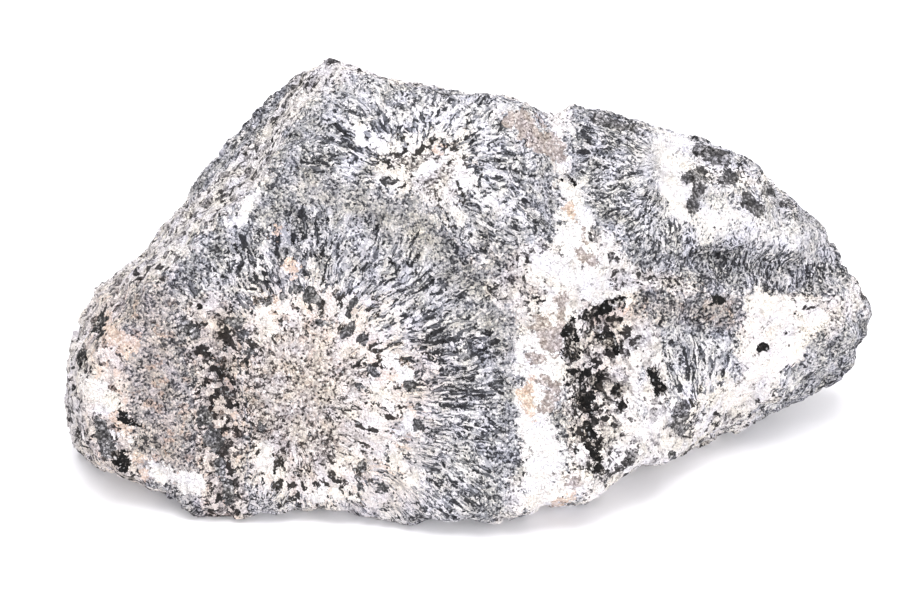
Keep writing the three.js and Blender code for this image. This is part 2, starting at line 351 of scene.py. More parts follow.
# %% [markdown]
# ## Grain you can feel
# A break through coarse granite is never smooth. Feldspar cleaves in small steps, mica flakes
# off and leaves pits, and quartz breaks in shells. Noise alone would look like putty, so each
# crystal gets a level and a tilt of its own, with steps to its neighbours. The edges of the
# block are rougher than the front, whose crystals broke off flush. This finer relief is pushed
# out along the surface's own normal, because on steep ground a push along the ray would smear it.

# %% Fine relief along the normals
# size of a cell, height (mm), seed
CRYSTALS = [(5.2, 2.1, 110), (2.8, 1.05, 120)]
FINE_SCOOPS = [(5.5, 0.9, 50)]
FINE_LUMPS = [(3.2, 0.45, 70), (2.0, 0.25, 71)]
LEVEL_SHARE = 0.6  # how much a crystal's own level counts beside its tilt
TIP_HEIGHT, TIP_SHARE = 0.8, 0.4  # mm, and the share that is left past it
FRONT_CALM = 0.6  # share of the fine relief that is left on the front
FLOOR_FADE = 1.5  # the fine relief fades out over this height above the resting flat


def crystals(points, size, seed):
    """Height of the crystal that each point lies on: its level, plus its tilt times the way.

    A crystal is all that lies nearest to one cell's own point; the way is measured from there.
    """
    nearest = np.full(len(points), np.inf)
    height = np.zeros(len(points))
    for cell, way in cells_around(points, size, seed):
        *tilt, level = (cell_number(*cell.T, seed + 3 + n) - 0.5 for n in range(4))
        distance = (way**2).sum(1)
        closer = distance < nearest
        nearest[closer] = distance[closer]
        height[closer] = (LEVEL_SHARE * level + (way * np.stack(tilt, axis=1)).sum(1))[closer]
    return height


def vertex_normals(points, quads):
    """Mean of the quads' normals, each the cross product of the quad's two diagonals."""
    a, b, c, d = (points[quads[:, n]] for n in range(4))
    across = np.cross(c - a, d - b)
    normals = np.zeros_like(points)
    for axis in range(3):
        for corner in range(4):
            normals[:, axis] += np.bincount(quads[:, corner], across[:, axis], len(points))
    return unit(normals)


def fine_relief(points):
    """Crystals, chips and lumps, calmer on the front, fading out just above the resting flat.

    What would stand out far is mostly broken off: past the tip height, a share of it is left.
    """
    height = sum(h * crystals(points, size, seed) for size, h, seed in CRYSTALS)
    height = height + lumps_and_chips(points, FINE_LUMPS, FINE_SCOOPS)
    height = np.minimum(height, TIP_HEIGHT + TIP_SHARE * (height - TIP_HEIGHT))
    calm = (1 - FRONT_CALM) * front_share(points) * block_limit(unit(points))[1]
    return height * (1 - calm) * np.clip((points[:, 2] + HEART_HEIGHT) / FLOOR_FADE, 0, 1)


low, high = points.min(0), points.max(0)
fine_height = fine_relief(points)
points = cut_flat(points + vertex_normals(points, quads) * fine_height[:, None])
print("fine relief: up to", round(float(np.abs(fine_height).max()), 2), "mm")

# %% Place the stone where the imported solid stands
# the box of the stone without its fine relief is laid on the solid's box, so that crystals
# stand out from the solid's surface as far as they lie below it
scale = (node_high[0] - node_low[0]) / (high[0] - low[0])
heart = (node_low + node_high) / 2 - scale * (low + high) / 2
heart[2] = HEART_HEIGHT * scale
mesh = bpy.data.meshes.new("granite_stone")
mesh.from_pydata((heart + points * scale).tolist(), [], quads.tolist())
mesh.update()
stone_object = bpy.data.objects.new("granite_stone", mesh)
bpy.context.scene.collection.objects.link(stone_object)
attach(stone_object, "root")
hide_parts("granite_block")
print("heart, mm:", np.round(heart * 1000, 2), " one drawn mm is", round(scale * 1000, 4), "mm")

# %% [markdown]
# ## The plan of the stone
# The pattern runs through the whole block, so it is a solid pattern: what shows on a face is a
# cut through balls. It could be built from shader nodes alone, but a dozen balls and more than
# a hundred patches would take hundreds of nodes. So the plan is worked out here with numpy, at
# each point of the net, and stored on the mesh as attributes. The net is about a millimetre
# wide, and the shader adds all that is finer than that. First come the balls. Where two
# overlap, the one named first keeps its whole shape, as an orbicule does that grew first.

# %% The orbicules
# centre (across, up, out; mm), half of the line it is drawn out along, half-axes, how far its
# core lies off its centre, where its core, rim and comb end as shares of its reach, lath width
# (mm), and how round its blobs are
ORBICULES = {
    "great": ((-33, -27.7, 15), (0, 0, 0), (48, 53, 46), (-14, 4, 0), (0.33, 0.49, 0.87), 0.75, 0.6),
    "upper": ((-10, 26, 22), (0, 0, 0), (37, 31, 30), (0, 0, 0), (0.20, 0.27, 0.80), 0.95, 1),
    "right": ((67, 25.5, -3), (17, -4.5, -5), (28, 28, 28), (0, 0, 0), (0.02, 0.03, 0.84), 0.78, 1),
    "lower": ((64, -58, 2), (0, 0, 0), (55, 55, 50), (0, 0, 0), (0.02, 0.60, 0.84), 0.95, 1),
    "end": ((112, -40, -27), (0, 0, 0), (38, 36, 36), (0, 0, 0), (0.30, 0.42, 0.62), 1.1, 1),
    "shoulder": ((-72, 52, -20), (0, 0, 0), (34, 34, 34), (0, 0, 0), (0.35, 0.50, 0.85), 1.0, 1),
    "back_left": ((-52, 8, -40), (0, 0, 0), (38, 34, 34), (5, 3, 0), (0.28, 0.50, 0.84), 0.85, 0.5),
    "back_middle": ((8, 30, -32), (6, 2, 0), (32, 32, 32), (0, 3, 0), (0.22, 0.36, 0.78), 0.9, 1),
    "back_right": ((56, 4, -42), (0, 0, 0), (33, 30, 32), (-4, 0, 0), (0.30, 0.50, 0.86), 0.85, 0.5),
    "back_low": ((-6, -24, -46), (0, 0, 0), (31, 28, 30), (0, 0, 0), (0.30, 0.48, 0.80), 0.9, 1),
    "under_left": ((-64, -42, -26), (0, 0, 0), (24, 24, 24), (0, 0, 0), (0.30, 0.48, 0.80), 0.9, 1),
    "under_right": ((36, -46, -24), (0, 0, 0), (24, 22, 24), (0, 0, 0), (0.30, 0.48, 0.80), 0.9, 1),
}
WOBBLE = [(17, 1.5, 80), (6, 1.1, 84), (2.5, 0.5, 87)]  # cell, sway (mm), seed
OUTSIDE_ZONE = 10.0  # how fast the zone number rises outside a ball
MATRIX_STARTS = 4  # the zone where a ball ends


def swayed(points):
    """Points moved by smooth noise, a different noise in each direction."""
    sway = 0
    for size, amount, seed in WOBBLE:
        sway = sway + amount * np.stack([lump(points, size, seed + n) for n in range(3)], axis=1)
    return points + sway


def orbicule_cover(leaned):
    """Which ball each point lies in or nearest to, its reach there, and the way out from it.

    Reach is the distance from the ball's middle line, in shares of its half-axes. A ball's inner
    layers are off centre by its core shift times (1 - reach) squared.
    """
    reach = np.full(len(leaned), 10.0)
    number = np.zeros(len(leaned), int)
    outward = np.zeros_like(leaned)
    slide = np.zeros_like(leaned)
    for n, (centre, run, axes, core_shift, *_) in enumerate(ORBICULES.values()):
        centre, run = np.array(centre, float), np.array(run, float)
        along = np.clip((leaned - centre) @ run / max(run @ run, 1e-9), -1, 1)[:, None]
        from_ball = leaned - centre - along * run
        depth = np.clip(1 - np.linalg.norm(from_ball / np.array(axes), axis=1), 0, 1)[:, None]
        from_ball = from_ball - depth**2 * np.array(core_shift)
        ball_reach = np.linalg.norm(from_ball / np.array(axes), axis=1)
        take = (reach >= 1) & (ball_reach < reach)
        reach[take], number[take] = ball_reach[take], n
        outward[take], slide[take] = from_ball[take], (along * run)[take]
    return reach, number, outward, slide


def zone_position(reach, number):
    """Core 0 to 1, rim 1 to 2, comb 2 to 3, ring 3 to 4, and rising outside: matrix."""
    ends = np.array([(0.0, *zones, 1.0) for *_, zones, _, _ in ORBICULES.values()])[number]
    inside = [
        np.clip((reach - ends[:, n]) / (ends[:, n + 1] - ends[:, n]), 0, 1) for n in range(4)
    ]
    return sum(inside) + OUTSIDE_ZONE * np.maximum(reach - 1, 0)


leaned = swayed(points) @ np.stack([ACROSS, UP_SLOPE, OUT], axis=1)
flat, front = leaned[:, :2], front_share(points)
reach, number, outward, slide = orbicule_cover(leaned)
zone = zone_position(reach, number)
print("points in a ball:", round(float((reach < 1).mean()), 2))

# %% Places on the front where the layers are not those of a ball
# zone that is set there, then lines: from, to (across, up), half-width (mm)
OTHER_ZONES = {
    "coarse": (5.0, [
        ((32, -14), (34, -46), 9), ((44, -42), (66, -40), 8), ((60, -38), (74, -34), 7),
        ((30, -6), (40, -12), 5), ((44, -14), (46, -36), 3), ((71, -8), (74, -30), 5),
        ((80, -8), (92, -8), 6), ((8, -2), (16, 6), 4), ((-61, -8), (-60, -34), 6),
        ((-60, -34), (-58, -55), 6.5),
    ]),
    "fine": (3.5, [((-75, -6), (-73, -42), 7), ((44, -5), (66, -5), 3)]),
}
BORDER_FRAY = (2.5, 1.3, 90)  # size of a cell, how far it moves a border (mm), seed


def nearest_line(flat, lines):
    """Distance outside the nearest of some lines with half-widths, below zero inside."""
    return np.min([line_place(flat, start, end)[0] - half for start, end, half in lines], axis=0)


fray_cell, fray_move, fray_seed = BORDER_FRAY
border_fray = fray_move * lump(points, fray_cell, fray_seed)
for zone_set, lines in OTHER_ZONES.values():
    zone[(nearest_line(flat, lines) + border_fray < 0) & (front > 0.5)] = zone_set

# %% [markdown]
# ## Laths and blobs
# The laths of a comb all point away from the core. A cell pattern gives separate grains, but
# its cells are as long as they are wide. If the radius is raised to a small power before the
# pattern is read, the cells are drawn out along the radius and keep their width, whatever the
# direction. So each point gets a place in "lath space", where one unit is one lath wide.

# %% Places in lath space
LATH_POWER = 0.24  # the smaller, the longer the laths
BLOB_WIDTH, MATRIX_GRAIN = 1.5, 1.45  # mm
UPPER_LATHS_STOUTER = 0.25  # share by which laths that point up are wider, and down narrower
COMB_MIDDLE = 0.7  # share of the reach at which cells are as wide as asked for
BALL_SHIFT = 17.3  # moves each ball to other cells of the pattern


def radial_cells(width, power):
    """Direction x (middle radius / width) x (radius / middle radius) ** power, plus a shift."""
    axes = np.array([axes for _, _, axes, *_ in ORBICULES.values()], float)
    middle = COMB_MIDDLE * axes.mean(1)[number]
    radius = np.linalg.norm(outward, axis=1)
    length = middle / width * (radius / middle) ** power
    shift = slide / width[:, None] + BALL_SHIFT * number[:, None]
    return outward / radius[:, None] * length[:, None] + shift


lath_width = np.array([width for *_, width, _ in ORBICULES.values()])[number]
blob_power = np.array([power for *_, power in ORBICULES.values()])[number]
lath_width = lath_width * (1 + UPPER_LATHS_STOUTER * unit(outward)[:, 1])
lath_place = radial_cells(lath_width, LATH_POWER)
blob_place = radial_cells(np.full(len(points), BLOB_WIDTH), blob_power)
in_matrix = zone > MATRIX_STARTS
blob_place[in_matrix] = leaned[in_matrix] / MATRIX_GRAIN
print("lath width, mm:", round(float(lath_width.min()), 2), "to", round(float(lath_width.max()), 2))

# %% Seams
# where one place meets another of a different ball, the pattern between them would be smeared,
# and in the middle of a ball the laths would shrink to nothing, so the shader has to use there
# the grains that do not depend on a ball
LATHS_MEET = 3.0  # mm from the middle of a ball
kind_of_rock = number + len(ORBICULES) * in_matrix
quad_kinds = kind_of_rock[quads]
seam_quads = quads[quad_kinds.min(1) != quad_kinds.max(1)]
seam = np.zeros(len(points))
seam[seam_quads.ravel()] = 1
seam[(np.linalg.norm(outward, axis=1) < LATHS_MEET) & (zone < MATRIX_STARTS)] = 1
print("points on a seam:", int(seam.sum()))

# %% [markdown]
# ## Patches and stains
# Between and inside the balls lie patches that no rule would give: a pale vein that cuts the
# block from top to bottom, clots of black mica beside it, cream feldspar at the right end, warm
# stains. Each is a line with a half-width, listed one by one. What is stored is the distance to
# the edge of the nearest patch of each kind, so that the shader can fray the edge. A stain does
# not draw grains of its own: it warms the colour, or it shifts the share of dark grains.

# %% Patches
# from, to (across, up), half-width (mm)
PATCHES = {
    "white": [
        ((22, 38.5), (25, 37.5), 2.0), ((26.3, 23), (27, 17.5), 2.6), ((23.6, 15), (23.6, 7), 2.4),
        ((27.5, 14), (27.7, 7), 1.8), ((19, 4), (29.5, 2), 4.0), ((28, -1.5), (38.5, -2), 2.4),
        ((22, 0), (17, -10), 2.6), ((15, -21), (20.3, -20.6), 2.6), ((13.5, -14), (13.5, -28), 1.3),
        ((17, -32.5), (19.3, -44), 4.3), ((28, -39.5), (29, -41), 1.5), ((47.5, 32.5), (52.8, 21), 2.8),
        ((48, 36.5), (56, 34), 2.0), ((-26, 36), (-17, 33), 1.2), ((-20, 25.5), (-14, 25), 1.6),
        ((-16.5, -30.5), (-13.5, -35), 1.6), ((-18.5, -18), (-15, -21), 1.3),
        ((-37, -50.5), (-23, -51.5), 1.0), ((-10, 27.5), (-5, 27.5), 1.3),
        ((-75, -45), (-66, -46.5), 2.4), ((-86, -36), (-82, -38), 1.5), ((-50, 21), (-56, 15), 1.0),
        ((55, 22), (62, 16), 1.3), ((64, 19), (70, 15), 0.8), ((-6, 20), (2, 12), 0.7),
        ((-2, 24), (8, 18), 0.7), ((76, 21), (79, 15), 0.9),
    ],
    "cream": [
        ((72, -4), (96, -4), 3.6), ((75, -10), (90, -10), 6.0), ((74, -18), (82, -17), 6.8),
        ((67, -28), (76, -27), 5.4), ((60, -38), (68, -34), 3.6), ((-93.5, -23.5), (-87, -28.5), 3.0),
        ((21, 31), (23, 25), 1.3), ((21, -1), (24, -3), 2.0), ((18.6, -48), (25.8, -48.6), 3.2),
        ((14.3, -51.7), (18, -54), 2.2), ((30, -52), (36, -50), 1.6), ((-34, -3.5), (-30, -7), 1.6),
        ((-48.5, -6), (-46, -11.5), 1.5), ((-23.5, -22.5), (-20, -28), 1.4),
        ((-48.5, -40.5), (-46.5, -46), 1.6), ((-20, -39), (-13, -48), 2.0),
    ],
    "peach": [
        ((79, -1), (90.5, -1.5), 1.5), ((101, -2), (103, -6), 2.4), ((-88, -10), (-80, -15), 2.0),
        ((-85.5, -31), (-82, -37), 0.9), ((-79.5, -41), (-78, -46), 1.5), ((-42.2, 6), (-41.5, 4), 1.3),
        ((-44.4, 14.5), (-44, 12.5), 0.8), ((14.5, -24.2), (16, -30), 1.5), ((-46, -4), (-47, -7), 0.8),
        ((-6.6, 31.5), (-6, 31), 0.9), ((24.6, 20), (25, 15), 0.7), ((26, -50.5), (22, -52), 1.0),
    ],
    "quartz": [
        ((12, 38.5), (16, 35), 2.6), ((16, 35), (20, 33), 2.8), ((21.9, -4.7), (21.5, -11), 1.7),
        ((16.5, -10), (20, -14.5), 2.6), ((15.7, -17.5), (17, -17.5), 1.6), ((27, 14), (27, 12.5), 1.0),
        ((26, 9), (29, 7.5), 1.4), ((19.3, -24.2), (19.5, -28.5), 1.6), ((24.5, -47), (26, -48), 1.4),
        ((60, -3), (63, -4), 1.4),
    ],
    "mica": [
        ((28.6, -7.7), (37, -3.8), 1.3), ((24, -10.5), (24.3, -16.5), 1.6),
        ((32, -10.5), (34.5, -15.5), 1.2), ((24, -22.5), (30.5, -23), 1.5),
        ((26.5, -26), (29.5, -30), 1.7), ((28.5, -33), (31, -38), 1.4), ((31, -42), (34, -50), 1.2),
        ((34.5, -25), (36.5, -28.5), 1.0), ((43.8, -20.5), (46, -25.5), 0.9),
        ((-91, -9.5), (-90, -11), 1.8), ((-94, -17), (-93, -20), 1.8),
        ((-84.4, -30.5), (-81, -34), 0.8), ((-85, -42), (-83, -43), 1.2),
        ((73, -15.2), (74, -15.5), 0.9), ((78, -17), (78.6, -17.5), 0.8),
        ((22.5, 27.5), (25.5, 25), 0.6), ((60, -2.5), (63, -3), 0.7), ((78, -30.5), (79, -33), 1.0),
    ],
    "slate": [
        ((58.5, 32.5), (65, 31), 2.0), ((53.5, 26.5), (58, 27.5), 1.3), ((58, 26), (56.5, 21), 1.8),
        ((65, 25.7), (66, 25), 2.2), ((71, 19.5), (73, 17.5), 2.2), ((51, -30), (52.5, -34.5), 2.0),
        ((49.9, -42), (50.3, -42.5), 1.6), ((33, 40), (42, 37), 1.2), ((76, 24), (82, 17), 2.6),
        ((-89.5, -33), (-87, -41), 1.7), ((-20, 23.8), (-17, 24.2), 0.6), ((80, -31), (84, -27), 1.6),
        ((88, -22), (94, -18), 2.0), ((-44.3, -2), (-44, -3), 1.2), ((-38.5, -2.5), (-37, -3), 1.6),
        ((-56, -10), (-54, -10.2), 1.4), ((-54, -13.2), (-52, -14), 0.9),
        ((-53.5, -17), (-52.5, -17.5), 1.1), ((-30.7, -11.5), (-28.3, -9.8), 1.0),
        ((-35.5, -8.3), (-33.5, -8.6), 0.8), ((-24, -19.5), (-21.5, -21), 1.0),
        ((-18.3, -31), (-17.3, -31.5), 0.9), ((-13.6, -32.5), (-12, -33.5), 1.0),
        ((-19.6, -39), (-19.2, -42), 0.7), ((-25, -42.5), (-24.8, -44.5), 0.9),
        ((-21, -49.8), (-20, -50), 1.0), ((-36, -53.2), (-34.5, -53.5), 1.0),
        ((-67, -10), (-65.5, -12), 1.6), ((-62.5, -36), (-61, -38), 1.6), ((-60, -43), (-59, -46), 1.7),
        ((-64, -30), (-63.5, -33), 1.2), ((-58, -49), (-56.5, -52), 2.0),
        ((-41.6, -0.8), (-41.2, 0.2), 0.9), ((-49, -5.2), (-47.6, -3.8), 0.7),
        ((-29.3, -7.2), (-27.5, -4.6), 0.6), ((-25.6, -12.6), (-24.8, -13.2), 1.0),
        ((-26.4, -22.6), (-23.6, -25.2), 0.5), ((-14.6, -22.8), (-13.8, -23.4), 1.1),
        ((-12.4, -28.4), (-11.2, -29), 1.1), ((-16.2, -36.6), (-15, -37.4), 0.6),
        ((-25.6, -48.6), (-25.2, -49.6), 0.8), ((-13.4, -42.4), (-12.6, -43.2), 0.8),
        ((-51, -33), (-50.2, -34), 0.9), ((-55.2, -37.2), (-54.4, -38), 0.9),
    ],
}
BACK_OFFSET = 12.0  # added to the distance on the back, so that no patch shows there (mm)


def patch_distance(kind):
    """Distance outside the nearest patch of a kind; far off on the back."""
    return nearest_line(flat, PATCHES[kind]) + BACK_OFFSET * (1 - front)


patches = {kind: patch_distance(kind) for kind in PATCHES}

# %% The vein
# corners (across, up), and the half-width at each (mm); it cuts through the whole depth
VEIN = [
    ((24, 44), 1.3), ((22, 28), 1.2), ((26.5, 18), 2.6), ((25, 8), 3.6), ((22, -2), 4.6),
    ((18, -14), 3.8), ((17, -28), 3.6), ((18, -42), 4.3), ((20, -60), 4.6),
]
VEIN_DRIFT = 0.12  # how far it moves across for each millimetre of depth


def vein_distance(leaned):
    """Distance to a bent line whose half-width changes evenly from corner to corner."""
    flat = leaned[:, :2] + VEIN_DRIFT * np.minimum(leaned[:, 2:], 0) * np.array([1.0, 0.0])
    distance = np.full(len(flat), np.inf)
    for (start, width), (end, next_width) in zip(VEIN, VEIN[1:]):
        away, along = line_place(flat, start, end)
        distance = np.minimum(distance, away - width - (next_width - width) * along)
    return distance


patches["white"] = np.minimum(patches["white"], vein_distance(leaned))
print("patches:", sum(len(lines) for lines in PATCHES.values()), "and the vein")

# %% Stains
# from, to (across, up), half-width; then how warm, olive and dark it is
STAINS = {
    "great_core": ((-40, -22), (-36, -44), 13, (0.22, 0.0, 0.0)),
    "great_left": ((-59, -12), (-60, -56), 8, (0.45, 0.0, 0.50)),
    "left_band": ((-75, -6), (-73, -40), 7, (0.60, 0.0, -0.35)),
    "left_end": ((-88, -8), (-86, -40), 8, (0.45, 0.0, -0.18)),
    "great_rim": ((-46, -2), (-12, -20), 10, (0.25, 0.0, -0.10)),
    "great_rim_low": ((-12, -24), (-18, -48), 8, (0.30, 0.0, -0.40)),
    "cream_end": ((72, -12), (92, -6), 10, (0.20, 0.0, 0.0)),
    "olive_band": ((-38, 23), (-12, 14), 5, (0.0, 0.5, -0.35)),
    "olive_tail": ((-12, 14), (4, -8), 5, (0.0, 0.4, -0.25)),
    "right_middle": ((47, 30), (62, 17), 6.5, (-0.1, 0.0, -0.60)),
    "right_slate": ((60, 31), (76, 22), 5.0, (0.0, 0.0, -0.25)),
    "right_laths": ((60, 14.5), (88, 12), 3.4, (-0.1, 0.0, -1.00)),
    "dark_band": ((48, 7.8), (98, 3.5), 1.9, (0.0, 0.1, 0.42)),
    "lower_top": ((34, -7), (64, -6), 4, (0.45, 0.0, 0.25)),
    "lower_laths": ((50, -14), (62, -18), 7, (-0.2, 0.0, -0.25)),
    "shoulder_edge": ((-74, 26), (-52, 44), 6, (0.0, 0.0, -0.25)),
    "shoulder_pale": ((-64, 12), (-48, 28), 4, (-0.1, 0.0, -0.10)),
    "vein_pocket": ((34, -6), (28, -36), 6, (0.2, 0.15, 0.62)),
    "left_of_vein": ((4, 8), (16, -2), 5, (0.2, 0.1, 0.0)),
    "upper_laths": ((2, 18), (14, 8), 8, (-0.1, 0.0, -0.10)),
    "coarse_pale": ((40, -22), (52, -48), 6, (0.0, 0.0, -0.75)),
    "right_comb": ((-6, -16), (-2, -34), 5, (0.0, 0.0, 0.45)),
    "great_lower_left": ((-50, -34), (-44, -46), 5, (0.1, 0.0, 0.50)),
    "core_top": ((-36, -10), (-30, -12), 7, (0.0, 0.0, -0.40)),
    "core_left": ((-48, -22), (-46, -28), 6, (0.0, 0.0, -0.40)),
    "great_foot": ((-38, -54), (-14, -52), 4, (0.1, 0.0, -0.45)),
    "under_dark_band": ((44, 1.5), (60, 0.8), 2.6, (0.1, 0.0, 0.45)),
    "upper_core": ((-20, 30), (2, 30), 6, (0.0, 0.0, 0.40)),
    "great_top": ((-48, 6), (-10, 4), 5, (0.0, 0.0, 0.08)),
    "vein_side": ((10, -6), (12, -20), 4, (0.1, 0.0, -0.40)),
    "peak_left": ((-56, 42), (-44, 54), 5, (0.0, 0.0, 0.60)),
    "right_edge": ((76, -34), (98, -16), 5, (-0.1, 0.0, -0.45)),
    "right_tip": ((98, -4), (103, -14), 5, (0.0, 0.0, -0.75)),
    "upper_ring": ((-20, 43), (4, 42), 5, (-0.1, 0.0, -0.15)),
    "upper_ring_left": ((-34, 43), (-25, 44), 5, (-0.1, 0.0, -0.50)),
    "upper_ring_right": ((8, 41), (22, 38), 4, (-0.1, 0.0, -0.50)),
    "upper_comb_right": ((6, 34), (16, 30), 5, (0.0, 0.0, -0.30)),
}


def stain_field(flat, front):
    """Sum of bells, exp(-(distance / half-width) squared), times each stain's three strengths."""
    field = np.zeros((len(flat), 3))
    for start, end, half_width, strengths in STAINS.values():
        bell = np.exp(-((line_place(flat, start, end)[0] / half_width) ** 2)) * front
        field += bell[:, None] * np.array(strengths)
    return field


stain = stain_field(flat, front)
print("stains:", len(STAINS))

# %% Store the plan on the mesh


def store(name, values):
    """A float or vector attribute with one value per point."""
    kind, key = ("FLOAT", "value") if values.ndim == 1 else ("FLOAT_VECTOR", "vector")
    attribute = mesh.attributes.new(name, kind, "POINT")
    attribute.data.foreach_set(key, values.astype(np.float32).ravel())


store("zone", zone)
store("lath_place", lath_place)
store("blob_place", blob_place)
store("stain", stain)
store("seam", seam)
store("pale_patches", np.stack([patches["white"], patches["cream"], patches["peach"]], axis=1))
store("dark_patches", np.stack([patches["quartz"], patches["mica"], patches["slate"]], axis=1))
print("attributes:", [a.name for a in mesh.attributes if not a.name.startswith(".")])

# %% [markdown]
# ## The granite
# The shader turns the plan into grains. Each grain pattern gives one random number per grain,
# and a colour ramp turns that number into a mineral: black mica, grey quartz, white or cream
# feldspar. The ramp is steep where two minerals meet and nearly flat within one. Hard steps would
# look like printed paper, because real grains are a little clear and show some of what lies under
# them. Each zone has its own ramp, because the share of each mineral is what makes a core, a rim,
# a comb or a ring look different. Roughness and bump come from the same numbers, so colour and
# surface agree: mica shines and lies lower, feldspar is rough and higher.

# %% Helpers for nodes


def feed(tree, socket, source):
    """A source is another node's socket, or a plain value."""
    if isinstance(source, bpy.types.NodeSocket):
        tree.links.new(source, socket)
    else:
        socket.default_value = source


def maths(tree, operation, *sources):
    """A Math node; its result is held in 0 to 1 where the operation ends in 'clamp'."""
    node = tree.nodes.new("ShaderNodeMath")
    node.operation = operation.removesuffix(" clamp")
    node.use_clamp = operation.endswith(" clamp")
    for socket, source in zip(node.inputs, sources):
        feed(tree, socket, source)
    return node.outputs[0]


def mixture(tree, *terms, start=0.0, clamped=False):
    """Sum of terms, each a source times its share, on top of a start."""
    for n, (source, share) in enumerate(terms, 1):
        held = " clamp" if clamped and n == len(terms) else ""
        start = maths(tree, "MULTIPLY_ADD" + held, source, share, start)
    return start


def centred(tree, value):
    """A number that runs from 0 to 1, moved so that it runs from -0.5 to 0.5."""
    return maths(tree, "SUBTRACT", value, 0.5)


def vectors(tree, operation, *sources):
    """A Vector Math node with one or two vectors."""
    node = tree.nodes.new("ShaderNodeVectorMath")
    node.operation = operation
    for socket, source in zip(node.inputs, sources):
        feed(tree, socket, source)
    return node.outputs["Value" if operation == "DOT_PRODUCT" else "Vector"]


def scaled(tree, vector, factor):
    """A vector times a number."""
    node = tree.nodes.new("ShaderNodeVectorMath")
    node.operation = "SCALE"
    feed(tree, node.inputs["Vector"], vector)
    feed(tree, node.inputs["Scale"], factor)
    return node.outputs["Vector"]


def blend(tree, share, first, second, mode="MIX"):
    """Two colours mixed: the second one's share runs from 0 to 1."""
    node = tree.nodes.new("ShaderNodeMix")
    node.data_type = "RGBA"
    node.blend_type = mode
    feed(tree, node.inputs["Factor"], share)
    feed(tree, node.inputs[6], first)
    feed(tree, node.inputs[7], second)
    return node.outputs[2]


def choose(tree, share, first, second):
    """Two numbers mixed."""
    node = tree.nodes.new("ShaderNodeMix")
    feed(tree, node.inputs["Factor"], share)
    feed(tree, node.inputs["A"], first)
    feed(tree, node.inputs["B"], second)
    return node.outputs[0]


def paint(code):
    """A colour code of red, green and blue, as the linear numbers that light works with."""
    channels = (int(code[n:n + 2], 16) / 255 for n in (1, 3, 5))
    return (*(((c + 0.055) / 1.055) ** 2.4 if c > 0.04 else c / 12.92 for c in channels), 1)


def minerals(tree, value, stops):
    """A colour ramp through minerals: steep where two minerals meet, flat within one."""
    node = tree.nodes.new("ShaderNodeValToRGB")
    elements = node.color_ramp.elements
    while len(elements) < len(stops):
        elements.new(0.5)
    for element, (place, code) in zip(elements, stops):
        element.position = place
        element.color = paint(code)
    feed(tree, node.inputs["Fac"], value)
    return node.outputs["Color"]


def noise(tree, vector, size, detail=2.0):
    """Smooth noise, about 0.5 on average, with lumps of the given size."""
    node = tree.nodes.new("ShaderNodeTexNoise")
    feed(tree, node.inputs["Vector"], vector)
    node.inputs["Scale"].default_value = 1 / size
    node.inputs["Detail"].default_value = detail
    return node.outputs["Fac"], node.outputs["Color"]


def attribute(tree, name):
    """The vector and the number stored on the mesh under a name."""
    node = tree.nodes.new("ShaderNodeAttribute")
    node.attribute_name = name
    return node.outputs["Vector"], node.outputs["Fac"]


def parts(tree, vector):
    """The three numbers of a vector or colour."""
    node = tree.nodes.new("ShaderNodeSeparateXYZ")
    feed(tree, node.inputs[0], vector)
    return node.outputs[:]


# %% A group that turns a place into grains
GRAIN_EDGE = 1.25  # one divided by how far a grain's edge lies from its middle, in cells


def grain_group():
    """Cells of a random point pattern, with frayed edges.

    Random is a different number for each grain, and Second another one. Facet is the height of
    the grain's own tilted plane: the way from the grain's middle, dotted with a random vector.
    Middle is 1 in the middle of a grain and falls to 0 at its edge.
    """
    tree = bpy.data.node_groups.new("mineral_grains", "ShaderNodeTree")
    interface = tree.interface
    interface.new_socket("Place", in_out="INPUT", socket_type="NodeSocketVector")
    interface.new_socket("Fray", in_out="INPUT", socket_type="NodeSocketVector")
    for name in ("Random", "Second", "Facet", "Middle"):
        interface.new_socket(name, in_out="OUTPUT", socket_type="NodeSocketFloat")
    incoming = tree.nodes.new("NodeGroupInput")
    outgoing = tree.nodes.new("NodeGroupOutput")
    place = vectors(tree, "ADD", incoming.outputs["Place"], incoming.outputs["Fray"])
    cells = tree.nodes.new("ShaderNodeTexVoronoi")
    cells.inputs["Scale"].default_value = 1
    feed(tree, cells.inputs["Vector"], place)
    random, second, _ = parts(tree, cells.outputs["Color"])
    tilt = vectors(tree, "SUBTRACT", cells.outputs["Color"], (0.5, 0.5, 0.5))
    from_middle = vectors(tree, "SUBTRACT", place, cells.outputs["Position"])
    facet = vectors(tree, "DOT_PRODUCT", from_middle, tilt)
    middle = maths(tree, "MULTIPLY_ADD clamp", cells.outputs["Distance"], -GRAIN_EDGE, 1.0)
    results = (("Random", random), ("Second", second), ("Facet", facet), ("Middle", middle))
    for name, source in results:
        feed(tree, outgoing.inputs[name], source)
    return tree


GRAINS = grain_group()


def grains(tree, place, fray):
    """The grain group, placed in a material."""
    node = tree.nodes.new("ShaderNodeGroup")
    node.node_tree = GRAINS
    feed(tree, node.inputs["Place"], place)
    feed(tree, node.inputs["Fray"], fray)
    return node.outputs[:]


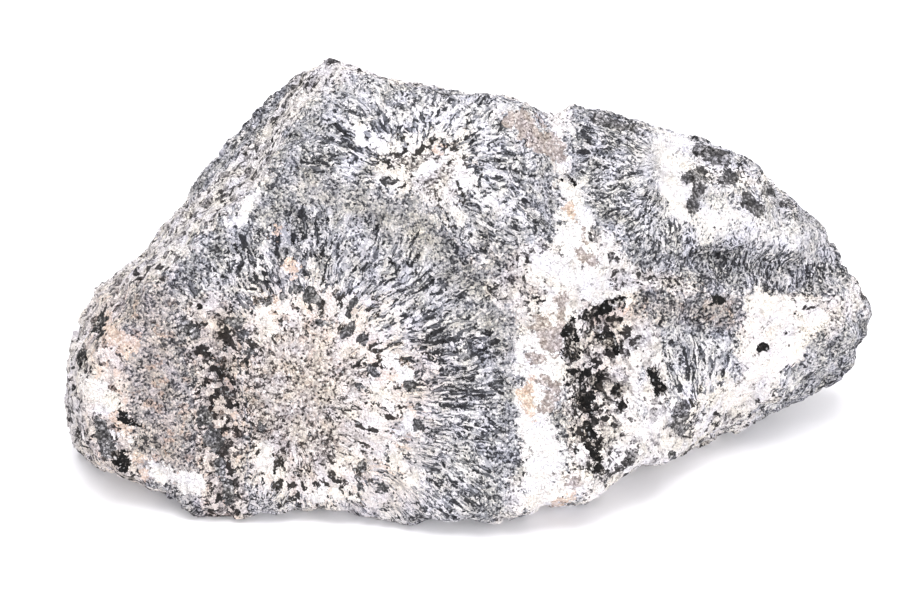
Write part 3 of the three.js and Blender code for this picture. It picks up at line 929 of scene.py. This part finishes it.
# %% The minerals of each zone
MINERALS = {
    "core": [
        (0, "#343232"), (0.26, "#4b4847"), (0.36, "#928e8c"), (0.48, "#bcb8b6"), (0.62, "#dad7d4"),
        (0.85, "#efedeb"),
    ],
    "rim": [
        (0, "#2d2c2b"), (0.27, "#454341"), (0.31, "#aaa6a3"), (0.37, "#e2dfdd"), (0.60, "#f2f0ee"),
        (0.90, "#f9f8f7"),
    ],
    "comb": [
        (0, "#242427"), (0.30, "#3b3d41"), (0.40, "#71747a"), (0.48, "#a3a6ac"), (0.60, "#d6d7da"),
        (0.85, "#f2f2f3"),
    ],
    "ring": [
        (0, "#29292c"), (0.30, "#46484d"), (0.42, "#83868c"), (0.54, "#a9acb0"), (0.68, "#cccdcf"),
        (0.90, "#e6e6e7"),
    ],
    "matrix": [
        (0, "#282727"), (0.24, "#403e3e"), (0.29, "#838182"), (0.38, "#b6b4b5"), (0.50, "#dad8d7"),
        (0.62, "#efedeb"), (0.90, "#f6f5f4"),
    ],
}

# %% The stone's material
granite = bpy.data.materials.new("orbicular_granite")
granite.use_nodes = True
tree = granite.node_tree
shader = tree.nodes["Principled BSDF"]
coordinates = tree.nodes.new("ShaderNodeTexCoord")
millimetres = scaled(tree, coordinates.outputs["Object"], 1000.0)

_, zone_value = attribute(tree, "zone")
lath_vector, _ = attribute(tree, "lath_place")
blob_vector, _ = attribute(tree, "blob_place")
warm, olive, dark = parts(tree, attribute(tree, "stain")[0])

# sizes of what each pattern is made of, and how far its edges are ragged (mm, or cells)
RAGGED_SIZE, CLOUD_SIZE = 0.9, 6.0
CORE_SPECK, RING_SPECK, FINEST_SPECK = 0.76, 0.65, 0.45
NEEDLES_PER_LATH = 1.8
ZONE_JAG, ZONE_SWAY = 0.55, 0.9

_, ragged = noise(tree, millimetres, RAGGED_SIZE)
ragged = vectors(tree, "SUBTRACT", ragged, (0.5, 0.5, 0.5))
cloud, _ = noise(tree, millimetres, CLOUD_SIZE, 3.0)
cloud = centred(tree, cloud)

lath_random, lath_second, lath_facet, _ = grains(tree, lath_vector, scaled(tree, ragged, 1.1))
needle_random, _, _, needle_middle = grains(
    tree, scaled(tree, lath_vector, NEEDLES_PER_LATH), scaled(tree, ragged, 1.5)
)
blob_random, blob_second, blob_facet, _ = grains(tree, blob_vector, scaled(tree, ragged, 1.1))
_, on_seam = attribute(tree, "seam")
on_seam = maths(tree, "GREATER_THAN", on_seam, 0.5)

# where the zones meet, laths and blobs reach over the border
zone_here = mixture(
    tree, (centred(tree, lath_second), ZONE_JAG), (cloud, ZONE_SWAY), start=zone_value
)
past_core, past_rim, past_comb, past_ring = (
    maths(tree, "GREATER_THAN", zone_here, border) for border in (1.0, 2.0, 3.0, 4.0)
)
along_comb = maths(tree, "SUBTRACT clamp", zone_here, 2.0)

speck_scale = choose(tree, past_core, 1 / CORE_SPECK, 1 / RING_SPECK)
speck_random, _, speck_facet, speck_middle = grains(
    tree, scaled(tree, millimetres, speck_scale), scaled(tree, ragged, 1.0)
)
# every grain is broken up by finer ones
fine_random, fine_second, fine_facet, fine_middle = grains(
    tree, scaled(tree, millimetres, 1 / FINEST_SPECK), scaled(tree, ragged, 1.2)
)

# a cloud of more or fewer dark grains, which a stain can deepen; laths are whitest near the core
less_dark = mixture(tree, (cloud, 0.5), (dark, -0.3))
speck_value = mixture(
    tree, (fine_random, 0.4), (speck_random, 0.6), start=less_dark, clamped=True
)
lath_start = maths(tree, "ADD", less_dark, 0.05)
lath_value = mixture(
    tree, (along_comb, -0.18), (needle_random, 0.42), (lath_random, 0.58),
    start=lath_start, clamped=True,
)
rim_value = mixture(tree, (less_dark, 0.8), (blob_random, 0.84), (fine_random, 0.16), clamped=True)
matrix_value = mixture(
    tree, (fine_random, 0.24), (blob_random, 0.76), start=less_dark, clamped=True
)

fine_in_comb = maths(tree, "GREATER_THAN", maths(tree, "ADD", along_comb, lath_second), 1.4)
fine_in_comb = maths(tree, "MAXIMUM", fine_in_comb, on_seam)
comb_value = choose(tree, fine_in_comb, lath_value, speck_value)
rim_value = choose(tree, on_seam, rim_value, speck_value)
matrix_value = choose(tree, on_seam, matrix_value, speck_value)

colour, facet = minerals(tree, speck_value, MINERALS["core"]), speck_facet
for kind, past, value, zone_facet in (
    ("rim", past_core, rim_value, blob_facet), ("comb", past_rim, comb_value, lath_facet),
    ("ring", past_comb, speck_value, speck_facet), ("matrix", past_ring, matrix_value, blob_facet),
):
    colour = blend(tree, past, colour, minerals(tree, value, MINERALS[kind]))
    facet = choose(tree, past, facet, zone_facet)
facet = mixture(tree, (fine_facet, 0.5), start=facet)
facet = choose(tree, on_seam, facet, speck_facet)
in_comb = maths(tree, "SUBTRACT", past_rim, past_comb)
fine_dome = choose(tree, in_comb, fine_middle, needle_middle)
fine_dome = choose(tree, on_seam, fine_dome, fine_middle)

# %% Stains, then the patches over everything
WARM, OLIVE = paint("#f0dfd3"), paint("#e9e5da")
colour = blend(tree, warm, colour, WARM, "MULTIPLY")
colour = blend(tree, olive, colour, OLIVE, "MULTIPLY")

# where the rock is warm, some of the coarse feldspars are peach coloured
PEACH_GRAIN = paint("#fdeadc")
PEACH_ABOVE, PEACH_STRENGTH = 0.84, 1.2
peach_grain = maths(tree, "GREATER_THAN", blob_second, PEACH_ABOVE)
for share in (
    maths(tree, "SUBTRACT", 1.0, in_comb), maths(tree, "MULTIPLY clamp", warm, PEACH_STRENGTH)
):
    peach_grain = maths(tree, "MULTIPLY", peach_grain, share)
colour = blend(tree, peach_grain, colour, PEACH_GRAIN, "MULTIPLY")

# patches are made of crystals of about two millimetres, which decide how an edge frays
CRYSTAL_SIZE = 2.1
SMALL_FRAY_SIZE, LARGE_FRAY_SIZE = 1.3, 4.0
crystal_random, _, crystal_facet, crystal_middle = grains(
    tree, scaled(tree, millimetres, 1 / CRYSTAL_SIZE), scaled(tree, ragged, 0.8)
)
fray_small, _ = noise(tree, millimetres, SMALL_FRAY_SIZE, 3.0)
fray_large, _ = noise(tree, millimetres, LARGE_FRAY_SIZE, 1.0)
fray_sources = ((fray_small, 4.0), (fray_large, 4.0), (crystal_random, 2.4), (speck_random, 0.9))
fray = mixture(tree, *((centred(tree, source), reach) for source, reach in fray_sources))
white, cream, peach = parts(tree, attribute(tree, "pale_patches")[0])
quartz, mica, slate = parts(tree, attribute(tree, "dark_patches")[0])


def inside(distance, fray_strength):
    """1 inside a patch whose edge is frayed more or less, 0 outside it."""
    frayed = mixture(tree, (fray, fray_strength), start=distance)
    return maths(tree, "LESS_THAN", frayed, 0.0)


PATCH_MINERALS = {
    "white": [(0, "#a3a2a2"), (0.13, "#dfdede"), (0.25, "#f5f5f4"), (0.75, "#fdfdfd")],
    "cream": [(0, "#474543"), (0.12, "#86827e"), (0.18, "#e6e3df"), (0.40, "#f8f6f3"), (0.80, "#fdfcfa")],
    "peach": [(0, "#b09b8d"), (0.36, "#d9c5b7"), (0.56, "#eadacd"), (0.85, "#f4eae2")],
    "quartz": [(0, "#7d7571"), (0.38, "#a59c97"), (0.58, "#c3bab6"), (0.85, "#e2dcd9")],
    "mica": [(0, "#060606"), (0.48, "#161515"), (0.58, "#45413e"), (0.66, "#a09b96"), (0.80, "#ecebe9")],
    "slate": [(0, "#272728"), (0.38, "#464647"), (0.54, "#6c6c6d"), (0.70, "#a6a6a8"), (0.87, "#d9d9db")],
}
small_grains = mixture(tree, (speck_random, 0.6), (fine_random, 0.4))
large_grains = mixture(tree, (crystal_random, 0.5), (small_grains, 0.5))
mixed_grains = mixture(tree, (small_grains, 0.5), (large_grains, 0.5))
for kind, distance, value, fray_strength in (
    ("white", white, small_grains, 1.0), ("cream", cream, large_grains, 1.0),
    ("peach", peach, small_grains, 0.8), ("quartz", quartz, small_grains, 0.7),
    ("slate", slate, mixed_grains, 0.4), ("mica", mica, large_grains, 0.7),
):
    patch_colour = minerals(tree, value, PATCH_MINERALS[kind])
    colour = blend(tree, inside(distance, fray_strength), colour, patch_colour)
in_pale = maths(tree, "MAXIMUM", inside(white, 1.0), inside(cream, 1.0))

# %% Fine variation, roughness and bump
# greys lean towards lilac in some places and towards cream in others
LILAC, CREAM = paint("#f9f7ff"), paint("#fffaf3")
TINT_SIZE = 5.0
tint, _ = noise(tree, millimetres, TINT_SIZE, 1.0)
tint = mixture(tree, (tint, 2.4), start=-0.7, clamped=True)
colour = blend(tree, 1.0, colour, blend(tree, tint, LILAC, CREAM), "MULTIPLY")

# painted highlight: a few of the finest grains are painted light, as glints; a few have fallen
# out and left a pit, whose shade is painted dark into the colour
PAINTED_GLINT_ABOVE, PAINTED_GLINT_SHARE, SHADED_PIT_BELOW = 0.96, 0.3, 0.03
PAINTED_GLINT, PIT_SHADE = paint("#ececee"), paint("#6c6a6a")
painted_glint = maths(tree, "GREATER_THAN", fine_second, PAINTED_GLINT_ABOVE)
shaded_pit_share = mixture(tree, (in_pale, -SHADED_PIT_BELOW), start=SHADED_PIT_BELOW)
shaded_pit = maths(tree, "LESS_THAN", fine_second, shaded_pit_share)
# painted highlight: the glinting grains are painted lighter
colour = blend(tree, maths(tree, "MULTIPLY", painted_glint, PAINTED_GLINT_SHARE), colour, PAINTED_GLINT)
# painted shade: the pits are painted darker, as the shade inside them; the bump lowers them too
colour = blend(tree, shaded_pit, colour, PIT_SHADE, "MULTIPLY")

# painted shade: each grain is painted a little darker at its edge, where it dips towards its
# neighbours; fine flecks also darken it a little at random
FLECK_SIZE = 0.35
flecks, _ = noise(tree, millimetres, FLECK_SIZE)
painted_shade_and_flecks = 1.0
for source, rise, edge in ((speck_middle, 0.28, 0.92), (fine_dome, 0.25, 0.94), (flecks, 0.36, 0.87)):
    painted_shade_and_flecks = maths(tree, "MULTIPLY", painted_shade_and_flecks, mixture(tree, (source, rise), start=edge))
colour = blend(tree, 1.0, colour, painted_shade_and_flecks, "MULTIPLY")
feed(tree, shader.inputs["Base Color"], colour)

grey = tree.nodes.new("ShaderNodeRGBToBW")
feed(tree, grey.inputs["Color"], colour)
brightness = grey.outputs["Val"]
roughness = mixture(tree, (brightness, 0.5), (flecks, 0.2), start=0.42)
feed(tree, shader.inputs["Roughness"], roughness)

# coarse crystals stand out of the matrix and of the pale patches
BUMP_HEIGHT = 0.0016  # metres
crystal_height = mixture(tree, (crystal_middle, 0.3), start=crystal_facet)
crystal_share = maths(tree, "MULTIPLY", maths(tree, "MAXIMUM", past_ring, in_pale), 0.8)
height = mixture(
    tree, (facet, 0.5), (speck_middle, 0.35), (fine_dome, 0.25), (flecks, 0.3), (fray_small, 0.7),
    (brightness, 0.12), (shaded_pit, -0.3), (crystal_height, crystal_share),
)
bump = tree.nodes.new("ShaderNodeBump")
bump.inputs["Distance"].default_value = BUMP_HEIGHT
bump.inputs["Strength"].default_value = 1.0
feed(tree, bump.inputs["Height"], height)
feed(tree, shader.inputs["Normal"], bump.outputs["Normal"])
shader.inputs["Specular IOR Level"].default_value = 0.16
mesh.materials.append(granite)
print("granite nodes:", len(tree.nodes))

# %% [markdown]
# ## Floor, light and camera
# The block stands on a plain white floor under large soft lights, so that shadows have soft
# edges and the pale minerals stay pale. The floor is lit a little from below, as on a light
# table, which keeps the shadows faint. The camera looks along the direction that the leaning
# plane faces, a little over half a metre away, and slightly left of and below the heart.

# %% Floor
FLOOR_HALF = 3.0
floor_mesh = bpy.data.meshes.new("floor")
floor_mesh.from_pydata(
    [(x * FLOOR_HALF, y * FLOOR_HALF, 0) for x, y in ((-1, -1), (1, -1), (1, 1), (-1, 1))],
    [], [(0, 1, 2, 3)],
)
floor = bpy.data.objects.new("floor", floor_mesh)
bpy.context.scene.collection.objects.link(floor)
floor_paint = bpy.data.materials.new("floor_paint")
floor_paint.use_nodes = True
floor_shader = floor_paint.node_tree.nodes["Principled BSDF"]
floor_shader.inputs["Base Color"].default_value = (0.86, 0.86, 0.88, 1)
floor_shader.inputs["Roughness"].default_value = 0.9
floor_shader.inputs["Emission Color"].default_value = (1, 0.99, 1, 1)
floor_shader.inputs["Emission Strength"].default_value = 0.11
floor_mesh.materials.append(floor_paint)

# %% Light
world = bpy.data.worlds.new("studio")
bpy.context.scene.world = world
world.use_nodes = True
sky = world.node_tree.nodes["Background"]
sky.inputs["Color"].default_value = (0.99, 0.97, 0.99, 1)
sky.inputs["Strength"].default_value = 1.0
BLOCK_MIDDLE = Vector((0, 0, 0.04))


def soft_light(name, place, size, power):
    """A square area light that looks at the block's middle."""
    light = bpy.data.lights.new(name, "AREA")
    light.size = size
    light.energy = power
    holder = bpy.data.objects.new(name, light)
    holder.location = place
    aim = BLOCK_MIDDLE - holder.location
    holder.rotation_euler = aim.to_track_quat("-Z", "Y").to_euler()
    bpy.context.scene.collection.objects.link(holder)


soft_light("key_above", (0.0, -0.05, 1.0), 0.8, 10.5)
soft_light("fill_right", (0.55, -0.9, 0.35), 0.8, 6)

# %% Camera
CAMERA_DISTANCE = 0.560
LENS, SENSOR_WIDTH = 90, 36
LEFT_OF_HEART, BELOW_HEART = 0.0042, 0.0039
camera = bpy.data.cameras.new("camera")
camera.lens = LENS
camera.sensor_width = SENSOR_WIDTH
camera_object = bpy.data.objects.new("camera", camera)
place = heart + OUT * CAMERA_DISTANCE - ACROSS * LEFT_OF_HEART - UP_SLOPE * BELOW_HEART
turn = Matrix([ACROSS, UP_SLOPE, OUT]).transposed().to_4x4()
camera_object.matrix_world = Matrix.Translation(place) @ turn
bpy.context.scene.collection.objects.link(camera_object)
bpy.context.scene.camera = camera_object
bpy.context.scene.view_settings.view_transform = "Standard"
